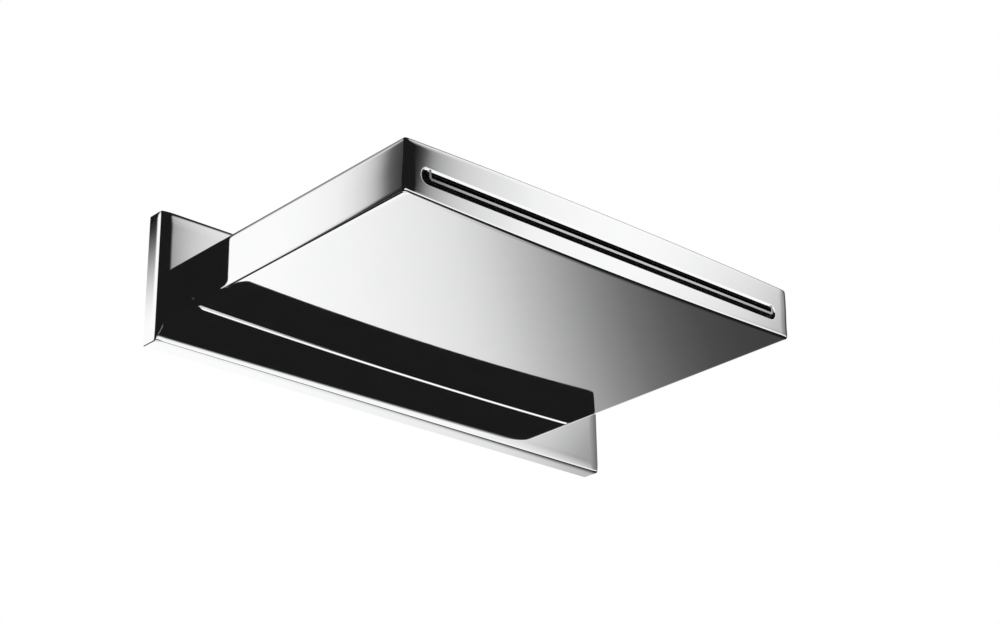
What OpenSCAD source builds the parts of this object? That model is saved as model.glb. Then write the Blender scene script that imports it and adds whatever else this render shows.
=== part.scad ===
// Wall-mounted waterfall bath spout: a flat crowned box on a cover plate, with a slot outlet.
// The wall is the plane y = 0, the spout reaches out along -Y, and the supply enters on the Y axis.

/* [Spout shell] */
// Width of the spout
spout_w = 250; // [244:1:284]
// Reach of the spout, from the cover plate to its front face
spout_reach = 156; // [120:1:220]
// Height of the spout along its two sides
spout_side_h = 26.5; // [26:0.5:36]
// Rise of the top, and drop of the underside, from the sides to the middle
spout_crown = 1.7; // [0.6:0.1:3]
// Wall of the shell at its sides
shell_wall = 2; // [1.5:0.1:2.2]
// Thickness of the shell's front wall
front_wall = 2.5; // [2:0.1:4]
// Radius of the shell's front edges
shell_edge_r = 0.9; // [0.4:0.1:1.5]
// Size of the flare where the shell meets the cover plate
root_flare = 1.2; // [0.6:0.1:2]
// Length of the two lugs that the rear block is screwed to
lug_len = 12; // [8:0.5:20]

/* [Outlet slot] */
// Distance from each end of the slot to the side of the spout
slot_margin = 10; // [8.5:0.5:20]
// Height of the slot
slot_h = 6.9; // [6.4:0.1:9]
// Distance of the slot's centre line below the spout's centre line
slot_drop = 2.4; // [1:0.1:3]
// Chamfer round the slot
slot_chamfer = 0.7; // [0.3:0.1:1.2]
// How far the outlet lip stands out of the front face
lip_out = 1.2; // [0.2:0.1:2]
// Sheet thickness of the outlet lip at its bottom and ends
lip_t = 1.2; // [0.8:0.1:1.6]
// Sheet thickness of the outlet lip at its top
lip_top_t = 0.5; // [0.4:0.1:0.8]
// Gap between each end of the lip and the end of the slot
lip_side_gap = 2.9; // [2:0.1:5]
// Height of the lip above the bottom of the slot
lip_rise = 1.5; // [1.2:0.1:2.4]
// Outer radius of the lip's lower corners
lip_corner_r = 1.8; // [1.3:0.1:2]
// How far the lip's top edge lies behind the front face
lip_top_recess = 2; // [0.5:0.1:4]
// Depth of the nozzle's nose behind the front face
nose_recess = 1.5; // [0.8:0.1:2]
// Thickness of the nozzle's flange
nozzle_flange_t = 5.2; // [4:0.1:8]

/* [Cover plate] */
// Width of the cover plate
plate_w = 290; // [284:1:340]
// Height of the cover plate
plate_h = 68; // [66:1:90]
// Depth of the cover plate, from the wall to its face
plate_t = 10.5; // [10.2:0.1:14]
// Wall of the cover plate
plate_wall = 2; // [1.5:0.1:2.2]
// Distance of the plate's centre below the spout's centre line
plate_drop = 3; // [0:0.5:5]
// Radius of the cover plate's edges
plate_edge_r = 0.8; // [0.4:0.1:1.4]
// Width of the foam seal inside the plate's rim
wall_seal_w = 5; // [3:0.5:6]
// Thickness of the foam seal
wall_seal_t = 3; // [2:0.5:4]

/* [Wall bracket] */
// Sheet thickness of the bracket
bracket_t = 3; // [2:0.5:3]
// Distance from the middle to each arm
arm_x = 75; // [50:1:80]
// Width of each arm
arm_w = 22; // [14:1:24]
// Height of each arm
arm_h = 8; // [6:0.5:9]
// Distance between the wall screws, side to side
screw_span_w = 200; // [190:1:214]
// Distance from the upper wall screws to the bracket's upper edge
screw_inset_h = 8; // [6:0.5:12]
// Radius of the wall screws' thread
screw_r = 2.5; // [2:0.1:2.8]
// Length of the wall screws behind the wall plane
screw_in = 30; // [20:1:34]

/* [Supply] */
// Major diameter of the supply thread
thread_d = 20.955; // [16.6:0.001:21]
// Length of the supply thread
thread_len = 16; // [10:1:24]
// Bore of the nipple
nipple_bore_d = 11; // [8:0.5:11.5]
// Diameter of the nipple's plug-in stem
stem_d = 16; // [15.4:0.1:16.8]
// Length of the stem inside the rear block
stem_in = 9.5; // [8.6:0.1:10.5]

/* [Water chamber] */
// Wall of the chamber tray
tray_wall = 2.3; // [1.5:0.1:2.6]
// Floor of the chamber tray
tray_floor = 2; // [1.5:0.1:3]
// Thickness of the tray's rear wall
tray_rear = 6; // [5:0.5:9]
// Thickness of the chamber cover
cover_t = 2; // [1.8:0.1:2.6]
// Length of the outlet channel in front of the ramp
channel_len = 12; // [10:0.5:16]
// Length of the ramp up to the outlet channel
ramp_len = 18; // [10:1:30]
// Thickness of the baffle
baffle_t = 1.5; // [1:0.1:2.5]
// Radius of the baffle's holes
baffle_hole_r = 2.5; // [1.5:0.1:3]
// Distance between the baffle's holes
baffle_pitch = 10; // [8:0.5:16]
// Distance between the fins of the flow comb
comb_pitch = 6; // [4:0.5:10]
// Thickness of the fins of the flow comb
fin_t = 0.8; // [0.6:0.1:1.2]

/* [Hidden] */

// Facets of small rounds, and steps of the crown, its corners and the front edge
round_fn = 48;
crown_steps = 24;
corner_steps = 5;
front_steps = 4;
// Overrun of every cut
cut = 0.5;
// Clearance between pieces that slide into each other
slide_gap = 0.3;
// Clearance of a screw in its tapped hole
tap_gap = 0.05;
// Clearance of pieces that are dropped into a pocket
drop_gap = 0.2;

// Inside of the shell
inner_w = spout_w - 2 * shell_wall;
inner_h = spout_side_h - 2 * shell_wall;
front_out = plate_t + spout_reach;
crown_r = (pow(spout_w / 2, 2) + pow(spout_crown, 2)) / (2 * spout_crown);

// Slot, lip and mouth
slot_w = spout_w - 2 * slot_margin;
slot_bottom = -slot_drop - slot_h / 2;
slot_top = -slot_drop + slot_h / 2;
lip_top = slot_top - drop_gap;
lip_bottom = slot_bottom + lip_rise;
lip_w = slot_w - 2 * lip_side_gap;
lip_h = lip_top - lip_bottom;
lip_z = (lip_top + lip_bottom) / 2;
mouth_w = lip_w - 2 * lip_t;
mouth_bottom = lip_bottom + lip_t;
mouth_top = lip_top - lip_top_t;
mouth_h = mouth_top - mouth_bottom;
mouth_z = (mouth_top + mouth_bottom) / 2;
mouth_corner_r = lip_corner_r - lip_t;
lip_rim = 1;
lip_rim_t = 0.8;
lip_top_corner_r = 0.6;

// Stack along the reach, as distances out from the wall
gasket_t = 1;
block_len = 14;
block_from = plate_t + gasket_t;
block_to = block_from + block_len;
nozzle_seal_t = 0.8;
nozzle_seal_w = 1.5;
nozzle_gasket_t = 0.8;
nozzle_to = front_out - front_wall - nozzle_seal_t;
nozzle_from = nozzle_to - nozzle_flange_t;
tray_from = block_to;
tray_to = nozzle_from - nozzle_gasket_t;
tray_len = tray_to - tray_from;
nozzle_side = 4;
nozzle_half = slot_w / 2 + nozzle_side;

// Stack up the inside of the shell
pad_under_t = 0.5;
pad_over_t = 0.75;
chamber_seal_t = 0.8;
tray_bottom = -inner_h / 2 + pad_under_t;
cover_top = inner_h / 2 - pad_over_t;
cover_bottom = cover_top - cover_t;
tray_top = cover_bottom - chamber_seal_t;
floor_top = tray_bottom + tray_floor;

// Chamber in plan
chamber_half = mouth_w / 2;
tray_half = chamber_half + tray_wall;
channel_from = tray_to - channel_len;
ramp_from = channel_from - ramp_len;
boss_r = 3.2;
boss_overlap = 1;
boss_x = chamber_half - boss_r + boss_overlap;
boss_shares = [0.16, 0.48, 0.9];
boss_run = ramp_from - tray_from - tray_rear;
rear_screw_x = 60;
rear_screw_out = tray_from + tray_rear / 2;
cover_screw_r = 1.5;
cover_screw_head_r = 2.8;
cover_screw_head_h = 1.5;
cover_screw_len = 9;
baffle_share = 0.7;
baffle_out = tray_from + tray_rear + baffle_share * boss_run;
baffle_bridge = 2;
baffle_row_gap = 2 * baffle_hole_r + baffle_bridge;
baffle_hole_count = floor((2 * chamber_half - 2 * baffle_pitch) / baffle_pitch);
rib_reach = 3;
rib_t = 2;
comb_base_t = 0.8;
comb_inset = 0.8;
fin_count = floor((mouth_w - 2 * comb_pitch) / comb_pitch);

// Rear block, its screws and the lugs that it is screwed to
lug_gap = 0.5;
lug_w = inner_w / 2 - tray_half - lug_gap;
lug_x = inner_w / 2 - lug_w / 2;
bolt_r = 2;
bolt_head_r = 3.5;
bolt_head_h = 3;
bolt_key_depth_share = 0.65;
bolt_grip = lug_len - 3 * tap_gap - bolt_r;
stem_r = stem_d / 2;
stem_to = block_from + stem_in;
bore_r = nipple_bore_d / 2;
arm_to = block_to - drop_gap - slide_gap;
grub_r = 3;
grub_len = 6;
grub_out = (block_from + block_to) / 2;
hex_key_d = 3;
hex_key_h = 3;
grub_access_gap = 0.4;
cap_gap = 0.15;

// Seal rings
stem_ring_r = 0.8;
stem_groove_w = 2.1;
stem_groove_depth = 1.4;
stem_ring_places_share = [0.36, 0.74];
face_ring_r = 0.8;
face_ring_wall = 0.9;
face_ring_R = bore_r + face_ring_wall + face_ring_r;
face_groove_depth = 1.5;

// Nipple
hex_af = 27;
hex_t = 5;
collar_r = 12;
neck_r = 9.3;
washer_t = 2;
washer_gap = 0.2;
thread_r = thread_d / 2;
thread_from = washer_t + washer_gap;
thread_to = thread_from + thread_len;
thread_chamfer = 0.9;
filter_t = 2.4;
filter_mesh_t = 0.8;
filter_wall = 1;
filter_r = thread_r - 2.6 * filter_wall;
filter_hole_r = 0.8;
filter_pitch = 2.3;
filter_rings = 2;

// Wall screws and washers
head_r = 4.6;
head_h = 3;
neck_share = 0.84;
tip_len = 6;
tip_r_share = 0.16;
drive_w_share = 0.22;
drive_len_share = 1.2;
drive_depth_share = 0.55;
screw_washer_t = 1.2;
screw_washer_r = 6;
screw_washer_gap = 0.4;
bracket_hole_gap = 1.3;
thread_lead = 0.3;
bracket_corner_r = 4;
bracket_gap = 2;
plate_inner_w = plate_w - 2 * plate_wall;
plate_inner_h = plate_h - 2 * plate_wall;
plate_window_gap = 0.8;
arm_window_w = arm_w + 2 * plate_window_gap;
arm_window_h = arm_h + 2 * plate_window_gap;
seal_inner_w = plate_inner_w - 2 * wall_seal_w;
seal_inner_h = plate_inner_h - 2 * wall_seal_w;
bracket_w = seal_inner_w - 2 * bracket_gap;
bracket_h = seal_inner_h - 2 * bracket_gap;
screw_span_h = bracket_h - 2 * plate_drop - 2 * screw_inset_h;
arm_screw_r = 2;
arm_screw_head_r = 3.8;
arm_screw_head_h = 2;
arm_screw_len = 14;

// Pads and strips
pad_w = 16;
pad_d = 10;
pad_x_share = 0.7;
pad_out_shares = [0.3, 0.62];
strip_top_gap = 1.5;
gasket_inset = 0.4;

// Height of the crowned top above the centre line, at a distance x from the middle
function crown_z(x) = spout_side_h / 2 + spout_crown - crown_r + sqrt(pow(crown_r, 2) - pow(x, 2));

// A flat outline in x and z, carried out from the wall
module outward(from, len) {
    translate([0, -from, 0])
        rotate([90, 0, 0])
            linear_extrude(len) children();
}

// A box about the plane x, between two distances out and two heights
module slab(w, from, to, low, high, x = 0) {
    translate([x - w / 2, -to, low])
        cube([w, to - from, high - low]);
}

// A round bar pointing away from the wall
module rod(r, from, to, x = 0, z = 0, r2 = -1) {
    translate([x, -from, z])
        rotate([90, 0, 0])
            cylinder(r1 = r, r2 = r2 < 0 ? r : r2, h = to - from, $fn = round_fn);
}

// A round ring of round section about the supply axis
module ring(major, minor, out) {
    translate([0, -out, 0])
        rotate([90, 0, 0])
            rotate_extrude($fn = round_fn)
                translate([major, 0])
                    circle(r = minor, $fn = round_fn);
}

// An outline in y and z, carried along x about the middle
module across(w) {
    translate([-w / 2, 0, 0])
        rotate([90, 0, 90])
            linear_extrude(w) children();
}

module round_rect(w, h, r) {
    square([w - 2 * r, h], center = true);
    square([w, h - 2 * r], center = true);
    for (sx = [-1, 1], sz = [-1, 1])
        translate([sx * (w / 2 - r), sz * (h / 2 - r)])
            circle(r = r, $fn = round_fn);
}

module stadium(w, h) {
    square([w - h, h], center = true);
    for (s = [-1, 1])
        translate([s * (w - h) / 2, 0])
            circle(r = h / 2, $fn = round_fn);
}

// The slot's outline grown by an even margin
module slot_outline(grow) {
    translate([0, -slot_drop])
        stadium(slot_w + 2 * grow, slot_h + 2 * grow);
}

// The lip's outline grown by an even margin, with its upper corners nearly square
module lip_outline(grow) {
    w = lip_w + 2 * grow;
    h = lip_h + 2 * grow;
    translate([0, lip_z]) {
        round_rect(w, h, lip_corner_r + grow);
        translate([0, h / 4]) round_rect(w, h / 2, lip_top_corner_r);
    }
}

// The chamber's mouth, the same in the lip and in the gasket behind it
module mouth_outline() {
    translate([0, mouth_z])
        round_rect(mouth_w, mouth_h, mouth_corner_r);
}

// Spout shell

// Points once round the shell's outline, drawn in by d: two crowned arcs and four small corners
function shell_outline(d) =
    let (
        centre_z = spout_side_h / 2 + spout_crown - crown_r,
        corner_x = spout_w / 2 - shell_edge_r,
        corner_z = centre_z + sqrt(pow(crown_r - shell_edge_r, 2) - pow(corner_x, 2)),
        lean = asin(corner_x / (crown_r - shell_edge_r)),
        corner = [
            for (i = [0 : corner_steps]) let (turn = (90 - lean) * i / corner_steps)
                [corner_x + (shell_edge_r - d) * cos(turn), corner_z + (shell_edge_r - d) * sin(turn)]
        ],
        arc = [
            for (i = [1 : crown_steps - 1]) let (turn = lean * (1 - 2 * i / crown_steps))
                [(crown_r - d) * sin(turn), centre_z + (crown_r - d) * cos(turn)]
        ],
        upper = concat(corner, arc, [for (i = [corner_steps : -1 : 0]) [-corner[i][0], corner[i][1]]])
    )
    concat(upper, [for (p = upper) [-p[0], -p[1]]]);

module shell_outside() {
    hull()
        for (i = [0 : front_steps]) {
            turn = 90 * i / front_steps;
            outward(plate_t, spout_reach - shell_edge_r * (1 - sin(turn)))
                polygon(shell_outline(shell_edge_r * (1 - cos(turn))));
        }
    hull() {
        outward(plate_t, tap_gap) polygon(shell_outline(-root_flare));
        outward(plate_t, root_flare) polygon(shell_outline(0));
    }
}

// The slot with its chamfer, as one cutter
module slot_cut() {
    flat_w = slot_w - slot_h;
    grow = slot_chamfer + cut;
    outward(front_out - front_wall - cut, front_wall + 2 * cut) slot_outline(0);
    for (s = [-1, 1])
        rod(slot_h / 2, front_out - slot_chamfer, front_out + cut, s * flat_w / 2, -slot_drop,
            slot_h / 2 + grow);
    translate([0, 0, -slot_drop])
        across(flat_w)
            polygon([
                [slot_chamfer - front_out, -slot_h / 2], [slot_chamfer - front_out, slot_h / 2],
                [-front_out - cut, slot_h / 2 + grow], [-front_out - cut, -slot_h / 2 - grow]
            ]);
}

module spout_shell() {
    color("gainsboro")
        difference() {
            shell_outside();
            difference() {
                slab(inner_w, plate_t - cut, front_out - front_wall, -inner_h / 2, inner_h / 2);
                for (s = [-1, 1])
                    slab(lug_w + cut, block_to, block_to + lug_len,
                        -inner_h / 2 - cut, inner_h / 2 + cut, s * (lug_x + cut / 2));
            }
            slot_cut();
            for (s = [-1, 1]) {
                rod(bolt_r + tap_gap, block_to - cut, block_to + lug_len - bolt_r, s * lug_x);
                translate([s * arm_x, -grub_out, 0])
                    cylinder(r = grub_r + grub_access_gap, h = spout_side_h, $fn = round_fn);
            }
        }
}

// Outlet

module outlet_lip() {
    color("lightgray")
        difference() {
            union() {
                outward(nozzle_from, front_out + lip_out - nozzle_from) lip_outline(0);
                outward(nozzle_from, lip_rim_t) lip_outline(lip_rim);
            }
            outward(nozzle_from - cut, front_out + lip_out - nozzle_from + 2 * cut) mouth_outline();
            slab(mouth_w, front_out - lip_top_recess, front_out + lip_out + cut, mouth_z, lip_top + cut);
        }
}

module nozzle_body() {
    nose_len = front_out - nose_recess - nozzle_to;
    color("dimgray")
        difference() {
            union() {
                slab(2 * nozzle_half, nozzle_from, nozzle_to, tray_bottom, cover_top);
                outward(nozzle_to - cut, nose_len + cut) slot_outline(-drop_gap);
            }
            outward(nozzle_from - cut, front_out - nozzle_from + cut) lip_outline(tap_gap);
            outward(nozzle_from - cut, lip_rim_t + cut) lip_outline(lip_rim + tap_gap);
        }
}

module nozzle_seal() {
    color("black")
        outward(nozzle_to, nozzle_seal_t)
            difference() {
                slot_outline(slide_gap + nozzle_seal_w);
                slot_outline(slide_gap);
            }
}

module nozzle_gasket() {
    color("black")
        outward(tray_to, nozzle_gasket_t)
            difference() {
                translate([0, (tray_bottom + cover_top) / 2])
                    square([2 * tray_half, cover_top - tray_bottom], center = true);
                mouth_outline();
            }
}

// Water chamber

// Places of the screws in the chamber's cover, seen from above
cover_screw_places = [
    for (s = [-1, 1]) for (b = boss_shares) [s * boss_x, -(tray_from + tray_rear + b * boss_run)],
    for (s = [-1, 1]) [s * rear_screw_x, -rear_screw_out]
];

// The tray's walls and bosses from above, which the seal on them follows
module tray_rim() {
    difference() {
        translate([-tray_half, -tray_to]) square([2 * tray_half, tray_len]);
        translate([-chamber_half, -tray_to - cut])
            square([2 * chamber_half, tray_len - tray_rear + cut]);
    }
    intersection() {
        for (p = cover_screw_places)
            translate(p) circle(r = boss_r, $fn = round_fn);
        translate([-tray_half, -tray_to]) square([2 * tray_half, tray_len]);
    }
}

module cover_holes(low, high, r) {
    for (p = cover_screw_places)
        translate([p[0], p[1], low]) cylinder(r = r, h = high - low, $fn = round_fn);
}

module chamber_tray() {
    color("dimgray")
        difference() {
            union() {
                slab(2 * tray_half, tray_from, tray_to, tray_bottom, floor_top);
                translate([0, 0, tray_bottom])
                    linear_extrude(tray_top - tray_bottom) tray_rim();
                across(2 * tray_half)
                    polygon([
                        [-ramp_from, floor_top], [-channel_from, mouth_bottom], [-tray_to, mouth_bottom],
                        [-tray_to, tray_bottom], [-ramp_from, tray_bottom]
                    ]);
                for (s = [-1, 1], side = [-1, 1])
                    slab(rib_reach + cut,
                        baffle_out + side * (baffle_t / 2 + drop_gap + rib_t / 2) - rib_t / 2,
                        baffle_out + side * (baffle_t / 2 + drop_gap + rib_t / 2) + rib_t / 2,
                        tray_bottom, tray_top,
                        s * (chamber_half - (rib_reach - cut) / 2));
            }
            rod(bore_r, tray_from - cut, tray_from + tray_rear + cut);
            cover_holes(tray_top - cover_screw_len, tray_top + cut, cover_screw_r + tap_gap);
        }
}

module chamber_cover() {
    color("dimgray")
        difference() {
            union() {
                slab(2 * tray_half, tray_from, tray_to, cover_bottom, cover_top);
                slab(2 * (chamber_half - drop_gap), channel_from, tray_to, mouth_top, cover_top);
            }
            cover_holes(cover_bottom - cut, cover_top + cut, cover_screw_r + slide_gap);
            for (p = cover_screw_places)
                translate([p[0], p[1], cover_top - cover_screw_head_h])
                    cylinder(r1 = cover_screw_r + slide_gap, r2 = cover_screw_head_r + slide_gap,
                        h = cover_screw_head_h, $fn = round_fn);
        }
}

module chamber_seal() {
    color("black")
        difference() {
            translate([0, 0, tray_top]) linear_extrude(chamber_seal_t) tray_rim();
            cover_holes(tray_top - cut, cover_bottom + cut, cover_screw_r + slide_gap);
        }
}

module cover_screws() {
    shank_len = cover_screw_len - cover_screw_head_h;
    color("silver")
        for (p = cover_screw_places)
            translate([p[0], p[1], 0]) {
                translate([0, 0, cover_top - cover_screw_len])
                    cylinder(r = cover_screw_r, h = shank_len, $fn = round_fn);
                translate([0, 0, cover_top - cover_screw_head_h])
                    difference() {
                        cylinder(r1 = cover_screw_r, r2 = cover_screw_head_r, h = cover_screw_head_h,
                            $fn = round_fn);
                        drive_cross(cover_screw_head_r, cover_screw_head_h);
                    }
            }
}

// A cross-shaped recess for a screwdriver, in the top of a head that stands on z = 0
module drive_cross(r, h) {
    for (turn = [0, 90])
        rotate([0, 0, turn])
            translate([-r * drive_len_share / 2, -r * drive_w_share / 2, h * (1 - drive_depth_share)])
                cube([r * drive_len_share, r * drive_w_share, h]);
}

module chamber_pads() {
    color("black")
        for (s = [-1, 1], b = pad_out_shares) {
            x = s * pad_x_share * tray_half;
            out = tray_from + b * tray_len;
            slab(pad_w, out, out + pad_d, -inner_h / 2, tray_bottom, x);
            slab(pad_w, out, out + pad_d, cover_top, inner_h / 2, x);
        }
}

module baffle_plate() {
    color("silver")
        difference() {
            slab(2 * (chamber_half - drop_gap), baffle_out - baffle_t / 2, baffle_out + baffle_t / 2,
                floor_top, cover_bottom - drop_gap);
            for (i = [0 : baffle_hole_count - 1], row = [-1, 1])
                rod(baffle_hole_r, baffle_out - baffle_t, baffle_out + baffle_t,
                    (i - (baffle_hole_count - 1) / 2) * baffle_pitch,
                    (floor_top + cover_bottom) / 2 + row * baffle_row_gap / 2);
        }
}

module flow_comb() {
    from = channel_from + comb_inset;
    to = tray_to - comb_inset;
    color("dimgray") {
        slab(mouth_w - 2 * drop_gap, from, to, mouth_bottom, mouth_bottom + comb_base_t);
        for (i = [0 : fin_count - 1])
            slab(fin_t, from, to, mouth_bottom, mouth_top - drop_gap,
                (i - (fin_count - 1) / 2) * comb_pitch);
    }
}

module damping_strips() {
    strip_w = inner_w / 2 - tray_half - slide_gap;
    color("darkslategray")
        for (s = [-1, 1])
            slab(strip_w, block_to + lug_len + gasket_t, nozzle_from - gasket_t,
                -inner_h / 2, inner_h / 2 - strip_top_gap, s * (inner_w / 2 - strip_w / 2));
}

// Rear block and what fastens it

module rear_block() {
    slot_grow = 2 * slide_gap;
    groove_r = face_ring_r + tap_gap;
    head_seat = block_from + bolt_head_h + drop_gap;
    color("darkgoldenrod")
        difference() {
            slab(inner_w - 2 * drop_gap, block_from, block_to, -inner_h / 2, inner_h / 2 - drop_gap);
            rod(stem_r + slide_gap, block_from - cut, stem_to + drop_gap);
            rod(bore_r, block_from, block_to + cut);
            difference() {
                rod(face_ring_R + groove_r, block_to - face_groove_depth, block_to + cut);
                rod(face_ring_R - groove_r, block_to - 2 * face_groove_depth, block_to + 2 * cut);
            }
            for (s = [-1, 1]) {
                slab(arm_w + slot_grow, block_from - cut, block_to + cut,
                    -arm_h / 2 - slide_gap, arm_h / 2 + slide_gap, s * arm_x);
                rod(bolt_r + drop_gap, block_from - cut, block_to + cut, s * lug_x);
                rod(bolt_head_r + slide_gap, block_from - cut, head_seat, s * lug_x);
                translate([s * arm_x, -grub_out, 0])
                    cylinder(r = grub_r + tap_gap, h = inner_h, $fn = round_fn);
            }
        }
}

module block_screws() {
    color("silver")
        for (s = [-1, 1]) {
            rod(bolt_r, block_from + bolt_head_h, block_to + bolt_grip, s * lug_x);
            difference() {
                rod(bolt_head_r, block_from + drop_gap, block_from + drop_gap + bolt_head_h, s * lug_x);
                translate([s * lug_x, -block_from, 0])
                    rotate([90, 0, 0])
                        cylinder(d = hex_key_d, h = bolt_head_h * bolt_key_depth_share, $fn = 6);
            }
        }
}

module grub_screws() {
    color("silver")
        for (s = [-1, 1])
            translate([s * arm_x, -grub_out, arm_h / 2])
                difference() {
                    cylinder(r = grub_r, h = grub_len, $fn = round_fn);
                    translate([0, 0, grub_len - hex_key_h])
                        cylinder(d = hex_key_d, h = hex_key_h + cut, $fn = 6);
                }
}

module grub_caps() {
    cap_r = grub_r + grub_access_gap - cap_gap;
    cap_h = crown_z(arm_x) - cap_gap - inner_h / 2;
    color("gainsboro")
        for (s = [-1, 1])
            translate([s * arm_x, -grub_out, inner_h / 2])
                cylinder(r = cap_r, h = cap_h, $fn = round_fn);
}

module chamber_oring() {
    color("black")
        ring(face_ring_R, face_ring_r, block_to - face_ring_r);
}

module spout_gasket() {
    w = inner_w - 2 * gasket_inset;
    h = inner_h - 2 * gasket_inset;
    color("black")
        outward(plate_t, gasket_t)
            difference() {
                square([w, h], center = true);
                circle(r = stem_r + plate_window_gap, $fn = round_fn);
                for (s = [-1, 1])
                    translate([s * arm_x, 0])
                        square([arm_window_w, arm_window_h], center = true);
            }
}

// Cover plate, bracket and wall fixings

module wall_plate() {
    color("gainsboro")
        difference() {
            intersection() {
                outward(0, plate_t)
                    translate([0, -plate_drop]) round_rect(plate_w, plate_h, plate_edge_r);
                translate([0, 0, -plate_drop - plate_h / 2])
                    linear_extrude(plate_h) plate_side(plate_w);
                across(plate_w)
                    translate([0, -plate_drop]) rotate([0, 0, 90]) plate_side(plate_h, -1);
            }
            slab(plate_inner_w, -cut, plate_t - plate_wall,
                -plate_drop - plate_inner_h / 2, -plate_drop + plate_inner_h / 2);
            rod(stem_r + plate_window_gap, 0, plate_t + cut);
            for (s = [-1, 1])
                slab(arm_window_w, 0, plate_t + cut, -arm_window_h / 2, arm_window_h / 2, s * arm_x);
        }
}

// The plate seen along an edge: its depth, with both outer corners rounded
module plate_side(w, towards = 1) {
    r = plate_edge_r;
    mirror([0, towards < 0 ? 1 : 0]) {
        translate([-w / 2, r - plate_t]) square([w, plate_t - r]);
        translate([r - w / 2, -plate_t]) square([w - 2 * r, plate_t]);
        for (s = [-1, 1])
            translate([s * (w / 2 - r), r - plate_t])
                circle(r = r, $fn = round_fn);
    }
}

module wall_seal() {
    color("darkslategray")
        outward(0, wall_seal_t)
            translate([0, -plate_drop])
                difference() {
                    square([plate_inner_w, plate_inner_h], center = true);
                    square([seal_inner_w, seal_inner_h], center = true);
                }
}

// Runs its children at each wall screw
module at_wall_screws() {
    for (sx = [-1, 1], sz = [-1, 1])
        translate([sx * screw_span_w / 2, 0, sz * screw_span_h / 2]) children();
}

module wall_bracket() {
    color("silver")
        difference() {
            outward(0, bracket_t)
                translate([0, -plate_drop]) round_rect(bracket_w, bracket_h, bracket_corner_r);
            rod(collar_r + drop_gap, -cut, bracket_t + cut);
            at_wall_screws() rod(screw_r + bracket_hole_gap, -cut, bracket_t + cut);
            for (s = [-1, 1]) {
                rod(arm_screw_r + drop_gap, -cut, bracket_t + cut, s * arm_x);
                rod(arm_screw_head_r + drop_gap, 0, arm_screw_head_h, s * arm_x, 0,
                    arm_screw_r + drop_gap);
            }
        }
}

module bracket_arms() {
    color("silver")
        for (s = [-1, 1])
            difference() {
                slab(arm_w, bracket_t, arm_to, -arm_h / 2, arm_h / 2, s * arm_x);
                rod(arm_screw_r + tap_gap, bracket_t - cut, arm_screw_len + arm_screw_r, s * arm_x);
            }
}

module arm_screws() {
    color("silver")
        for (s = [-1, 1])
            difference() {
                union() {
                    rod(arm_screw_r, arm_screw_head_h, arm_screw_len, s * arm_x);
                    rod(arm_screw_head_r, 0, arm_screw_head_h, s * arm_x, 0, arm_screw_r);
                }
                translate([s * arm_x, -arm_screw_head_h, 0])
                    rotate([-90, 0, 0]) drive_cross(arm_screw_head_r, arm_screw_head_h);
            }
}

module wall_screws() {
    seat = bracket_t + screw_washer_t;
    neck = screw_r * neck_share;
    color("silver")
        at_wall_screws() {
            rod(screw_r, tip_len - screw_in, thread_lead);
            rod(screw_r * tip_r_share, -screw_in, tip_len - screw_in, r2 = screw_r);
            rod(neck, thread_lead, seat);
            translate([0, -seat, 0])
                rotate([90, 0, 0])
                    difference() {
                        cylinder(r1 = head_r, r2 = head_r * neck_share, h = head_h, $fn = round_fn);
                        drive_cross(head_r, head_h);
                    }
        }
}

module screw_washers() {
    hole_r = screw_r * neck_share + screw_washer_gap;
    color("silver")
        at_wall_screws()
            difference() {
                rod(screw_washer_r, bracket_t, bracket_t + screw_washer_t);
                rod(hole_r, bracket_t - cut, bracket_t + screw_washer_t + cut);
            }
}

// Supply nipple and its seals

module supply_nipple() {
    hex_r = hex_af / 2 / cos(30);
    color("darkgoldenrod")
        difference() {
            union() {
                rod(thread_r, thread_chamfer - thread_to, -thread_from);
                rod(thread_r - thread_chamfer, -thread_to, thread_chamfer - thread_to, r2 = thread_r);
                rod(neck_r, -thread_from, 0);
                rod(collar_r, 0, bracket_t);
                translate([0, -bracket_t, 0])
                    rotate([90, 0, 0]) cylinder(r = hex_r, h = hex_t, $fn = 6);
                rod(stem_r, bracket_t, stem_to);
            }
            rod(bore_r, -thread_to - cut, stem_to + cut);
            rod(filter_r, -thread_to - cut, filter_t - thread_to);
            for (k = stem_ring_places_share) {
                middle = stem_ring_out(k);
                difference() {
                    rod(stem_r + cut, middle - stem_groove_w / 2, middle + stem_groove_w / 2);
                    rod(stem_r - stem_groove_depth, block_from - cut, stem_to + cut);
                }
            }
        }
}

function stem_ring_out(k) = block_from + k * stem_in;

module nipple_orings() {
    color("black")
        for (k = stem_ring_places_share)
            ring(stem_r - stem_groove_depth + tap_gap + stem_ring_r, stem_ring_r, stem_ring_out(k));
}

module nipple_washer() {
    color("firebrick")
        difference() {
            rod(collar_r, -washer_t, 0);
            rod(neck_r + slide_gap, -washer_t - cut, cut);
        }
}

module inlet_filter() {
    out = filter_t - thread_to;
    places = concat(
        [[0, 0]],
        [for (k = [1 : filter_rings]) for (i = [0 : 6 * k - 1])
            [k * filter_pitch * cos(60 * i / k), k * filter_pitch * sin(60 * i / k)]]
    );
    color("silver")
        difference() {
            rod(filter_r - drop_gap, -thread_to, out);
            rod(filter_r - drop_gap - filter_wall, -thread_to - cut, out - filter_mesh_t);
            for (p = places)
                rod(filter_hole_r, out - 2 * filter_mesh_t, out + cut, p[0], p[1]);
        }
}

spout_shell();
outlet_lip();
nozzle_body();
nozzle_seal();
nozzle_gasket();
chamber_tray();
chamber_cover();
chamber_seal();
cover_screws();
chamber_pads();
baffle_plate();
flow_comb();
damping_strips();
rear_block();
block_screws();
grub_screws();
grub_caps();
chamber_oring();
spout_gasket();
wall_plate();
wall_seal();
wall_bracket();
bracket_arms();
arm_screws();
wall_screws();
screw_washers();
supply_nipple();
nipple_orings();
nipple_washer();
inlet_filter();
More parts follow.
